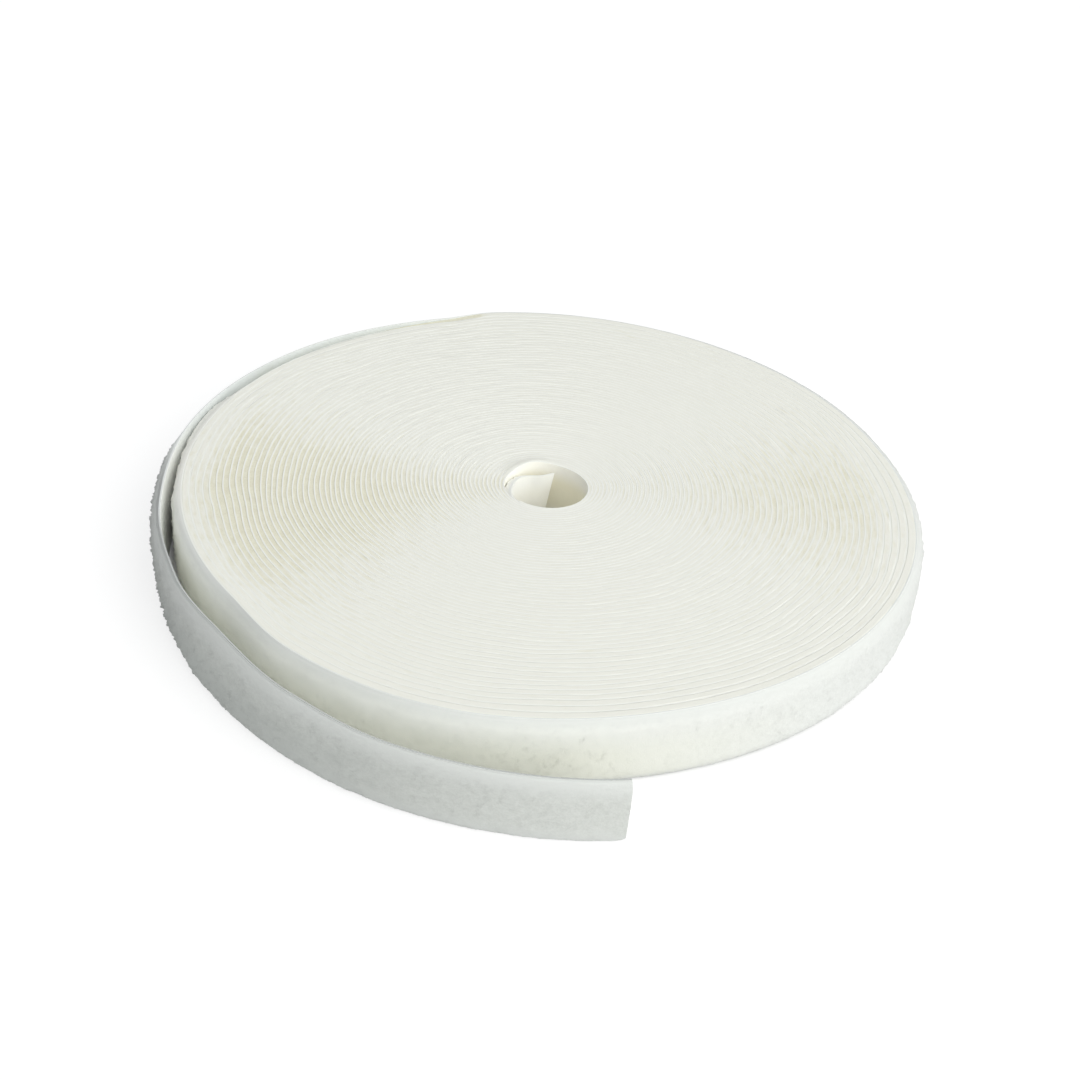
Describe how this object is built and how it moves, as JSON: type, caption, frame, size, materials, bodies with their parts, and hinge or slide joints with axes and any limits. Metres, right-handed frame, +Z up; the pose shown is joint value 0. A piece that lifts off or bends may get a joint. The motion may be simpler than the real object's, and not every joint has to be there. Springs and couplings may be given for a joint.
{
  "type": "hook and loop tape roll",
  "caption": "Coreless roll of soft loop tape lying flat, wound pile side out round an open bore, with a loose inner end and a free tail that swings away from the roll.",
  "frame": {"origin": "centre of the footprint of the roll and its tail, on the surface that the roll lies on", "axes": "+Z up along the roll's axis; +Y away from the cut end of the tail, along the footprint's longer side; +X to the right seen from the tail's cut end"},
  "size_m": [0.2222, 0.2466, 0.02],
  "materials": {
    "woven_backing": "fine woven nylon, slightly glossy at the selvedges",
    "loop_pile": "soft brushed loop pile, matt"
  },
  "bodies": {
    "roll": {"wound_backing": "woven_backing", "wound_pile": "loop_pile"},
    "inner_end": {"inner_end_backing": "woven_backing", "inner_end_pile": "loop_pile"},
    "tail_1": {"tail_backing_1": "woven_backing", "tail_pile_1": "loop_pile"},
    "tail_2": {"tail_backing_2": "woven_backing", "tail_pile_2": "loop_pile"},
    "tail_3": {"tail_backing_3": "woven_backing", "tail_pile_3": "loop_pile"}
  },
  "joints": [
    {"name": "inner_end_swing", "type": "hinge", "parent": "roll", "child": "inner_end", "pos_m": [-0.00637, 0.00022, 0.01], "axis": [0, 0, -1], "range_deg": [0, 35]},
    {"name": "tail_peel", "type": "hinge", "parent": "roll", "child": "tail_1", "pos_m": [-0.09566, 0.06564, 0.01], "axis": [0, 0, -1], "range_deg": [0, 75]},
    {"name": "tail_bend_1", "type": "hinge", "parent": "tail_1", "child": "tail_2", "pos_m": [-0.10914, -0.01638, 0.01], "axis": [0, 0, -1], "range_deg": [-4, 75]},
    {"name": "tail_bend_2", "type": "hinge", "parent": "tail_2", "child": "tail_3", "pos_m": [-0.06541, -0.09287, 0.01], "axis": [0, 0, -1], "range_deg": [-4, 75]}
  ]
}
